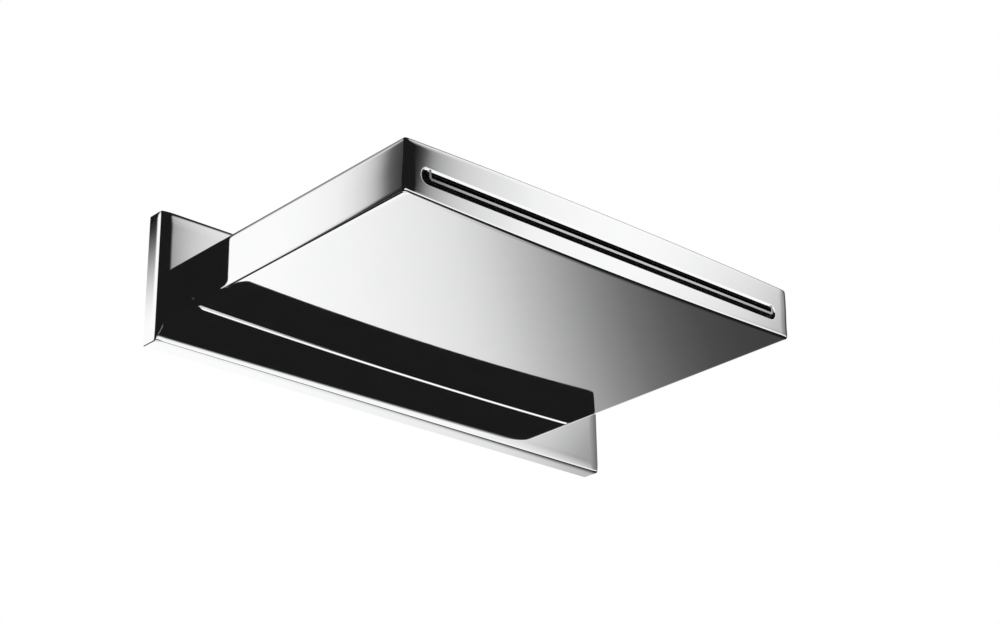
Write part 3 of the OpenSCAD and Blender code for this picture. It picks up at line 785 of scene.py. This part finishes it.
def bump(tree, shader, height, strength, distance):
    """Gives a shader a bumpy surface."""
    node = add(tree, "ShaderNodeBump", {"Height": height, "Strength": strength, "Distance": distance})
    tree.links.new(node.outputs[0], shader.inputs["Normal"])


def mix(tree, first, share, second):
    """A share of the first level and the rest of the second."""
    return calc(tree, "MULTIPLY_ADD", first, share, calc(tree, "MULTIPLY", second, 1 - share))


# The levels that most of a noise lies between
NOISE_RANGE = (0.3, 0.7)
# The trace of blue in the chrome's haze
HAZE_TINT = (0.985, 0.99, 1)


def chrome_material(name, tone, rough_low, rough_high):
    """Mirror-bright plating with a faint polishing haze."""
    mat, tree, shader = material(name)
    haze = noise(tree, object_place(tree), scale=60, detail=3)
    fine = noise(tree, object_place(tree, (1, 1, 14)), scale=900, detail=2)
    mixed = mix(tree, fine, 0.35, haze)
    tree.links.new(spread(tree, mixed, *NOISE_RANGE, rough_low, rough_high), shader.inputs["Roughness"])
    tints = (tuple(tone * c for c in HAZE_TINT), (tone, tone, tone))
    colour = ramp(tree, haze, list(zip(NOISE_RANGE, tints)))
    tree.links.new(colour, shader.inputs["Base Color"])
    shader.inputs["Metallic"].default_value = 1
    return mat


def brushed_material(name, tone, along, rough=0.28, strength=0.15):
    """Metal with fine straight grain; along is the stretch of the grain on each axis."""
    mat, tree, shader = material(name)
    grain = noise(tree, object_place(tree, along), scale=1500, detail=4, roughness=0.6)
    broad = noise(tree, object_place(tree), scale=40, detail=2)
    low = tuple(0.86 * c for c in tone)
    colour = ramp(tree, grain, [(0.25, low), (0.75, tone)])
    tree.links.new(colour, shader.inputs["Base Color"])
    mixed = mix(tree, broad, 0.5, grain)
    roughs = (rough * 0.75, rough * 1.3)
    tree.links.new(spread(tree, mixed, *NOISE_RANGE, *roughs), shader.inputs["Roughness"])
    shader.inputs["Metallic"].default_value = 1
    bump(tree, shader, grain, strength, distance=0.00003)
    return mat


def moulded_material(name, tone, rough, grain_scale, strength, depth, specular):
    """Moulded plastic, rubber or fibre: a fine grain over a slight mottle."""
    mat, tree, shader = material(name)
    place = object_place(tree)
    grain = noise(tree, place, grain_scale, detail=3, roughness=0.6)
    mottle = noise(tree, place, scale=70, detail=3)
    low = tuple(0.75 * c for c in tone)
    high = tuple(min(1, 1.25 * c) for c in tone)
    tree.links.new(ramp(tree, mottle, list(zip(NOISE_RANGE, (low, high)))), shader.inputs["Base Color"])
    roughs = (rough - 0.08, rough + 0.08)
    tree.links.new(spread(tree, grain, *NOISE_RANGE, *roughs), shader.inputs["Roughness"])
    shader.inputs["Specular IOR Level"].default_value = specular
    bump(tree, shader, grain, strength, depth)
    return mat


def foam_material(name, tone):
    """Closed-cell foam: small round cells, with painted shade darkening their hollows."""
    mat, tree, shader = material(name)
    inputs = {"Vector": object_place(tree), "Scale": 1400}
    cells = add(tree, "ShaderNodeTexVoronoi", inputs).outputs["Distance"]
    # Painted shade: the colour darkens towards each cell's middle, where the bump below sinks it into a
    # hollow
    low = tuple(0.45 * c for c in tone)
    tree.links.new(ramp(tree, cells, [(0.1, low), (0.6, tone)]), shader.inputs["Base Color"])
    rough = ramp(tree, cells, [(0.0, 0.75), (1.0, 0.95)])
    tree.links.new(rough, shader.inputs["Roughness"])
    bump(tree, shader, cells, strength=0.6, distance=0.0003)
    return mat


# What a tarnish leaves of a metal's red, green and blue
TARNISH = (0.78, 0.72, 0.6)


def turned_material(name, tone, rough):
    """Brass turned on a lathe: fine rings about the supply axis, and a slight tarnish."""
    mat, tree, shader = material(name)
    inputs = {"Scale": 700.0, "Distortion": 0.6, "Detail": 2.0, "Detail Scale": 1.5}
    inputs["Vector"] = object_place(tree)
    wave = add(tree, "ShaderNodeTexWave", inputs, wave_type="BANDS", bands_direction="Y")
    rings = wave.outputs["Fac"]
    tarnish = noise(tree, object_place(tree), scale=180, detail=4, roughness=0.6)
    dull = tuple(c * f for c, f in zip(tone, TARNISH))
    tree.links.new(ramp(tree, tarnish, [(0.35, dull), (0.65, tone)]), shader.inputs["Base Color"])
    mixed = mix(tree, tarnish, 0.7, rings)
    tree.links.new(spread(tree, mixed, 0.2, 0.8, rough * 0.7, rough * 1.6), shader.inputs["Roughness"])
    shader.inputs["Metallic"].default_value = 1
    bump(tree, shader, rings, strength=0.12, distance=0.00004)
    return mat


MATERIALS = {
    "chrome": chrome_material("chrome", tone=0.97, rough_low=0.015, rough_high=0.045),
    "chrome_plastic": chrome_material("chrome_plastic", tone=0.95, rough_low=0.03, rough_high=0.07),
    "satin_steel": brushed_material(
        "satin_steel", tone=(0.62, 0.62, 0.61), along=(0.04, 1, 1), rough=0.1, strength=0.02
    ),
    "steel": brushed_material("steel", tone=(0.66, 0.66, 0.645), along=(0.05, 1, 1)),
    "black_plastic": moulded_material(
        "black_plastic",
        tone=(0.004, 0.004, 0.0045),
        rough=0.5,
        grain_scale=1600,
        strength=0.1,
        depth=0.00004,
        specular=0.25,
    ),
    "rubber": moulded_material(
        "rubber",
        tone=(0.02, 0.02, 0.021),
        rough=0.68,
        grain_scale=900,
        strength=0.15,
        depth=0.00005,
        specular=0.3,
    ),
    "foam": foam_material("foam", tone=(0.16, 0.16, 0.17)),
    "brass": turned_material("brass", tone=(0.78, 0.6, 0.29), rough=0.22),
    "fibre": moulded_material(
        "fibre",
        tone=(0.42, 0.1, 0.07),
        rough=0.75,
        grain_scale=1100,
        strength=0.3,
        depth=0.00008,
        specular=0.3,
    ),
}


def dress_nodes():
    """Gives every CAD node the finished material of its slot."""
    for obj in nodes.values():
        for slot in obj.material_slots:
            slot.material = MATERIALS[slot.material.name.split(".")[0]]


def place_piece(obj, node, slot):
    """A piece that stands for a CAD node, in its slot's material."""
    obj.data.materials.clear()
    obj.data.materials.append(MATERIALS[slot])
    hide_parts(node)
    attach(obj, "root")


# ---------------------------------------------------------------- studio


def card(name, corners, cover_of):
    """A black studio card that only reflections see: its four corners in metres, and how much of the light
    behind it each place on it covers."""
    mesh = bpy.data.meshes.new(name)
    mesh.from_pydata(corners, [], [(0, 1, 2, 3)])
    obj = bpy.data.objects.new(name, mesh)
    bpy.context.scene.collection.objects.link(obj)
    mat = bpy.data.materials.new(name)
    mat.use_nodes = True
    tree = mat.node_tree
    tree.nodes.clear()
    place = add(tree, "ShaderNodeTexCoord").outputs["Object"]
    cover = cover_of(tree, *add(tree, "ShaderNodeSeparateXYZ", {0: place}).outputs[:3])
    clear = add(tree, "ShaderNodeBsdfTransparent").outputs[0]
    light = add(tree, "ShaderNodeEmission", {"Color": (BLACK, BLACK, BLACK, 1)}).outputs[0]
    mixed = add(tree, "ShaderNodeMixShader", {0: cover, 1: clear, 2: light}).outputs[0]
    add(tree, "ShaderNodeOutputMaterial", {"Surface": mixed})
    mesh.materials.append(mat)
    for ray in ("camera", "diffuse", "transmission", "volume_scatter", "shadow"):
        setattr(obj, "visible_" + ray, False)


# Level of light of the black cards, and the lowest of the room
BLACK = 0.0103
# The cards' places in metres: their planes, and from where to where each of them reaches
FRONT_Y = -0.514
FRONT_ENDS = (-0.441, 0.6)
FRONT_HEIGHTS = (0.0, 1.5)
LEFT_X = -0.441
LEFT_ENDS = (-0.514, 1.1)
LEFT_HEIGHTS = (-0.32, 1.5)
RIGHT_Y = -0.942
RIGHT_ENDS = (0.7, 2.6)
RIGHT_HEIGHTS = (-0.1, 1.9)
ROOF_Z = 0.9
ROOF_ACROSS = (-0.75, 2.0)
ROOF_OUT = (-1.1, 1.6)
# What each card leaves of the white room, as (place in metres, level)
FRONT_LEVELS = [
    (0.171, 0.0), (0.176, 0.025), (0.179, 0.055), (0.182, 0.11), (0.185, 0.2), (0.188, 0.285),
    (0.191, 0.345), (0.195, 0.41), (0.204, 0.52), (0.212, 0.6), (0.22, 0.66), (0.235, 0.74), (0.26, 0.82),
    (0.282, 0.91), (0.321, 0.96), (0.37, 1.0),
]
LEFT_LEVELS = [
    (0.15, 0.0), (0.211, 0.02), (0.218, 0.05), (0.225, 0.08), (0.23, 0.13), (0.234, 0.21), (0.239, 0.35),
    (0.244, 0.47), (0.25, 0.58), (0.257, 0.68), (0.271, 0.8), (0.288, 0.9), (0.32, 0.96), (0.36, 1.0),
]
RIGHT_LEVELS = [
    (0.78, 1.0), (0.88, 0.965), (0.92, 0.93), (0.96, 0.885), (1.0, 0.82), (1.03, 0.76), (1.05, 0.71),
    (1.07, 0.645), (1.09, 0.58), (1.105, 0.52), (1.12, 0.465), (1.135, 0.4), (1.15, 0.355), (1.2, 0.29),
    (1.4, 0.2), (2.0, 0.15),
]
# How far the front card's levels lean to the left, by height
FRONT_LEAN = [
    (0.0, 0.103), (0.215, 0.0063), (0.24, 0.0), (0.253, -0.0025), (0.27, 0.001), (0.3, 0.004),
    (0.34, 0.003), (0.365, -0.004), (0.4, -0.011), (0.455, -0.028), (0.48, -0.042), (0.6, -0.12),
    (0.8, -0.2),
]
# A ramp holds nothing below 0, so this is added to the lean inside it
LEAN_BASE = 0.2
# The left card's levels lean by this slope above this height
LEFT_LEAN_FROM = 0.2605
LEFT_LEAN = 0.2
# The right card's levels lean by this slope about this height, down to this far below it
RIGHT_PIVOT = 0.553
RIGHT_PIVOT_REACH = -0.14
RIGHT_LEAN = -0.75
# How much of the light behind them the roof's back and right parts and the top of the left card cover
ROOF_BACK = 0.6
ROOF_RIGHT = 0.4
LEFT_TOP = 0.7
# Where the cards and their parts set in or fade out, from and to along one axis, in metres
CARD_TOP = (1.5, 1.2)
FRONT_FOOT = (0.0, 0.11)
LEFT_OVER_Z = (0.285, 0.335)
LEFT_OVER_Y = (1.1, 0.9)
LEFT_BACK_Z = (0.205, 0.3)
LEFT_BACK_Y = (0.42, 0.46)
LEFT_FOOT = (-0.16, -0.08)
LEFT_TOE_Z = (-0.32, -0.22)
LEFT_TOE_Y = (0.05, -0.05)
RIGHT_FOOT = (0.05, 0.17)
RIGHT_TOP = (1.9, 1.4)
ROOF_FRONT_EDGE = (-0.96, -0.83)
ROOF_BACK_Y = (0.2, 0.6)
ROOF_BACK_EDGE = (1.6, 1.3)
ROOF_RIGHT_X = (0.55, 0.75)
ROOF_LEFT_EDGE = (-0.75, -0.6)
ROOF_RIGHT_EDGE = (2.0, 1.6)


def cover_levels(tree, value, levels):
    """The cover of a black card that leaves those levels of a white room."""
    return profile(tree, value, [(place, 1 - level) for place, level in levels])


def cover_front(tree, x, y, z):
    """The front card: its levels run across, and lean by height."""
    lean = profile(tree, z, [(height, shift + LEAN_BASE) for height, shift in FRONT_LEAN])
    across = calc(tree, "SUBTRACT", calc(tree, "ADD", x, lean), LEAN_BASE)
    cover = cover_levels(tree, across, FRONT_LEVELS)
    return product(tree, cover, smooth(tree, z, *FRONT_FOOT), smooth(tree, z, *CARD_TOP))


def cover_left(tree, x, y, z):
    """The left card: its levels run towards the wall, with a thinner part over them and one behind them."""
    above = calc(tree, "MAXIMUM", calc(tree, "SUBTRACT", z, LEFT_LEAN_FROM), 0)
    out = calc(tree, "ADD", y, calc(tree, "MULTIPLY", above, LEFT_LEAN))
    over = product(tree, smooth(tree, z, *LEFT_OVER_Z, 0, LEFT_TOP), smooth(tree, y, *LEFT_OVER_Y))
    back = product(tree, smooth(tree, y, *LEFT_BACK_Y), smooth(tree, z, *LEFT_BACK_Z))
    cover = calc(tree, "MAXIMUM", cover_levels(tree, out, LEFT_LEVELS), calc(tree, "MAXIMUM", over, back))
    toe = product(tree, smooth(tree, z, *LEFT_TOE_Z), smooth(tree, y, *LEFT_TOE_Y))
    foot = calc(tree, "MAXIMUM", toe, smooth(tree, z, *LEFT_FOOT))
    return product(tree, cover, foot, smooth(tree, z, *CARD_TOP))


def cover_right(tree, x, y, z):
    """The right card: its levels run across, and lean by height."""
    above = calc(tree, "MAXIMUM", calc(tree, "SUBTRACT", z, RIGHT_PIVOT), RIGHT_PIVOT_REACH)
    across = calc(tree, "MULTIPLY_ADD", above, RIGHT_LEAN, x)
    cover = cover_levels(tree, across, RIGHT_LEVELS)
    return product(tree, cover, smooth(tree, z, *RIGHT_FOOT), smooth(tree, z, *RIGHT_TOP))


def cover_roof(tree, x, y, z):
    """The roof: whole over the spout, thinner behind it and at its right, and soft at its edges."""
    cover = product(tree, smooth(tree, y, *ROOF_FRONT_EDGE), smooth(tree, y, *ROOF_BACK_Y, 1, ROOF_BACK))
    cover = product(tree, cover, smooth(tree, x, *ROOF_RIGHT_X, 1, ROOF_RIGHT))
    ends = product(tree, smooth(tree, x, *ROOF_LEFT_EDGE), smooth(tree, x, *ROOF_RIGHT_EDGE))
    return product(tree, cover, smooth(tree, y, *ROOF_BACK_EDGE), ends)


def make_cards():
    """Three upright cards round the spout and a roof over it."""

    def upright(ends, heights, place_of):
        low, high = heights
        return [place_of(end, z) for end, z in zip((*ends, *ends[::-1]), (low, low, high, high))]

    front = upright(FRONT_ENDS, FRONT_HEIGHTS, lambda x, z: (x, FRONT_Y, z))
    left = upright(LEFT_ENDS, LEFT_HEIGHTS, lambda y, z: (LEFT_X, y, z))
    right = upright(RIGHT_ENDS, RIGHT_HEIGHTS, lambda x, z: (x, RIGHT_Y, z))
    roof = upright(ROOF_ACROSS, ROOF_OUT, lambda x, y: (x, y, ROOF_Z))
    card("flag_front", front, cover_front)
    card("flag_left", left, cover_left)
    card("flag_right", right, cover_right)
    card("flag_roof", roof, cover_roof)


# Levels of the room low down, by heading in degrees from +Y towards +X: light only a little to the right of
# the wall's far side
LOW_LEVELS = [
    (12, 0.0103), (23, 0.3), (29, 1.0), (34, 1.0), (35.5, 0.985), (36.5, 0.965), (37.5, 0.94), (38.5, 0.91),
    (39.5, 0.87), (40.5, 0.825), (41.5, 0.765), (42.5, 0.66), (43.5, 0.515), (44.5, 0.385), (45.5, 0.26),
    (46.5, 0.167), (47.5, 0.107), (48.5, 0.072), (49.5, 0.056), (51, 0.048), (54, 0.036), (60, 0.0103),
]
# The elevations in degrees between which the room goes over to those levels
LOW_ELEVATIONS = (-12, -17)
# Their headings lean by elevation: about the first of these by the first slope, and under the second of
# these by the second slope as well
LOW_PIVOTS = (-24, -30)
LOW_LEANS = (-0.3, 1.35)
# Level of the room to the right of the spout, and the headings and elevations where it sets in
BESIDE_LEVEL = 0.23
BESIDE_FROM = (62, 72)
BESIDE_TO = (122, 114)
BESIDE_UNDER = (55, 45)
# Level of the room for everything that isn't a mirror
PLAIN_LEVEL = 0.75


def make_world():
    """A white studio for the camera and for reflections, darker low down at the front and right, and an even
    light for everything else."""
    world = bpy.data.worlds.new("studio")
    bpy.context.scene.world = world
    world.use_nodes = True
    tree = world.node_tree
    tree.nodes.clear()
    way = add(tree, "ShaderNodeTexCoord").outputs["Generated"]
    x, y, z = add(tree, "ShaderNodeSeparateXYZ", {0: way}).outputs[:3]
    azimuth = calc(tree, "DEGREES", calc(tree, "ARCTAN2", x, y))
    elevation = calc(tree, "DEGREES", calc(tree, "ARCSINE", z))
    from_pivot, under_pivot = (calc(tree, "SUBTRACT", elevation, pivot) for pivot in LOW_PIVOTS)
    deep = calc(tree, "MINIMUM", under_pivot, 0)
    leaning = calc(tree, "MULTIPLY_ADD", from_pivot, LOW_LEANS[0], azimuth)
    leaning = calc(tree, "MULTIPLY_ADD", deep, LOW_LEANS[1], leaning)
    low_level = profile(tree, leaning, LOW_LEVELS)
    low = smooth(tree, elevation, *LOW_ELEVATIONS)
    beside = product(tree, smooth(tree, azimuth, *BESIDE_FROM), smooth(tree, azimuth, *BESIDE_TO))
    beside = product(tree, beside, smooth(tree, elevation, *BESIDE_UNDER))
    high_level = calc(tree, "MULTIPLY_ADD", beside, BESIDE_LEVEL - 1, 1)
    level = calc(tree, "MULTIPLY_ADD", low, calc(tree, "SUBTRACT", low_level, high_level), high_level)
    level = calc(tree, "MAXIMUM", level, BLACK)
    glossy = add(tree, "ShaderNodeBackground", {"Color": level}).outputs[0]
    plain = add(tree, "ShaderNodeBackground", {"Color": (1, 1, 1, 1), "Strength": PLAIN_LEVEL}).outputs[0]
    white = add(tree, "ShaderNodeBackground", {"Color": (1, 1, 1, 1)}).outputs[0]
    path = add(tree, "ShaderNodeLightPath").outputs
    seen = add(tree, "ShaderNodeMixShader", {0: path["Is Glossy Ray"], 1: plain, 2: glossy}).outputs[0]
    clear = calc(tree, "MAXIMUM", path["Is Camera Ray"], path["Is Transmission Ray"])
    mixed = add(tree, "ShaderNodeMixShader", {0: clear, 1: seen, 2: white}).outputs[0]
    add(tree, "ShaderNodeOutputWorld", {"Surface": mixed})


# The object's middle, which the floor lies under and the lamps face
MIDDLE = Vector((0, -0.09, 0))
FLOOR_Z = -1.1
FLOOR_R = 0.8
FLOOR_SIDES = 96
FLOOR_TONES = (0.88, 0.92)
# Where the floor fades out, as shares of its radius
FLOOR_FADE = (0.6, 0.98)


def make_floor():
    """A plain pale floor well below the spout, fading out at its rim into the white room."""
    mesh = bpy.data.meshes.new("floor")
    bm = bmesh.new()
    bmesh.ops.create_circle(bm, cap_ends=True, segments=FLOOR_SIDES, radius=FLOOR_R)
    bm.to_mesh(mesh)
    bm.free()
    obj = bpy.data.objects.new("floor", mesh)
    bpy.context.scene.collection.objects.link(obj)
    obj.location = (MIDDLE.x, MIDDLE.y, FLOOR_Z)
    mat, tree, shader = material("floor")
    place = add(tree, "ShaderNodeTexCoord").outputs["Object"]
    grain = noise(tree, place, scale=300, detail=3)
    tree.links.new(ramp(tree, grain, list(zip(NOISE_RANGE, FLOOR_TONES))), shader.inputs["Base Color"])
    shader.inputs["Roughness"].default_value = 0.9
    shader.inputs["Specular IOR Level"].default_value = 0
    distance = add(tree, "ShaderNodeVectorMath", {0: place}, operation="LENGTH").outputs["Value"]
    fade = smooth(tree, distance, *(FLOOR_R * share for share in FLOOR_FADE), 1, 0)
    tree.links.new(fade, shader.inputs["Alpha"])
    mesh.materials.append(mat)


# Each lamp's name, place in metres and power in watts, and the side of all of them in metres
LAMPS = [("key", (-0.9, -1.3, 1.2), 12), ("fill", (1.2, -0.9, 0.6), 5), ("back", (0.3, 1.4, 0.6), 6)]
LAMP_SIZE = 1.2


def make_lamps():
    """Three soft lamps for the matt surfaces; the chrome reflects the room instead."""
    for name, place, watts in LAMPS:
        lamp = bpy.data.lights.new(name, "AREA")
        lamp.size = LAMP_SIZE
        lamp.energy = watts
        obj = bpy.data.objects.new(name, lamp)
        bpy.context.scene.collection.objects.link(obj)
        obj.location = place
        obj.rotation_euler = (MIDDLE - Vector(place)).to_track_quat("-Z", "Y").to_euler()
        obj.visible_glossy = False
        obj.visible_camera = False


# The photograph's camera: its place in metres, its heading from +Y towards +X, its rise and its roll in
# radians, its lens and sensor width in millimetres, and its nearest distance in metres
CAMERA_PLACE = (-0.637447, -0.780877, -0.422150)
CAMERA_HEADING = 0.74480577
CAMERA_RISE = 0.41463682
CAMERA_ROLL = -0.01715519
CAMERA_LENS = 75.894
CAMERA_SENSOR = 36
CAMERA_NEAR = 0.01


def make_camera():
    """The camera at the photograph's viewing angle."""
    forward = Vector(
        (
            math.sin(CAMERA_HEADING) * math.cos(CAMERA_RISE),
            math.cos(CAMERA_HEADING) * math.cos(CAMERA_RISE),
            math.sin(CAMERA_RISE),
        )
    )
    level = Vector((math.cos(CAMERA_HEADING), -math.sin(CAMERA_HEADING), 0))
    upright = level.cross(forward)
    right = math.cos(CAMERA_ROLL) * level + math.sin(CAMERA_ROLL) * upright
    up = -math.sin(CAMERA_ROLL) * level + math.cos(CAMERA_ROLL) * upright
    data = bpy.data.cameras.new("camera")
    data.sensor_fit = "HORIZONTAL"
    data.sensor_width = CAMERA_SENSOR
    data.lens = CAMERA_LENS
    data.clip_start = CAMERA_NEAR
    camera = bpy.data.objects.new("camera", data)
    bpy.context.scene.collection.objects.link(camera)
    turned = Matrix((right, up, -forward)).transposed().to_4x4()
    camera.matrix_world = Matrix.Translation(CAMERA_PLACE) @ turned
    bpy.context.scene.camera = camera


# ---------------------------------------------------------------- the scene

make_camera()
dress_nodes()
place_piece(make_shell(), "spout_shell", "chrome")
place_piece(make_plate(), "wall_plate", "chrome")
place_piece(make_wall_screws(), "wall_screws", "steel")
place_piece(make_nipple(), "supply_nipple", "brass")
make_world()
make_cards()
make_floor()
make_lamps()
bpy.context.scene.view_settings.view_transform = "Standard"

bpy.context.view_layer.update()
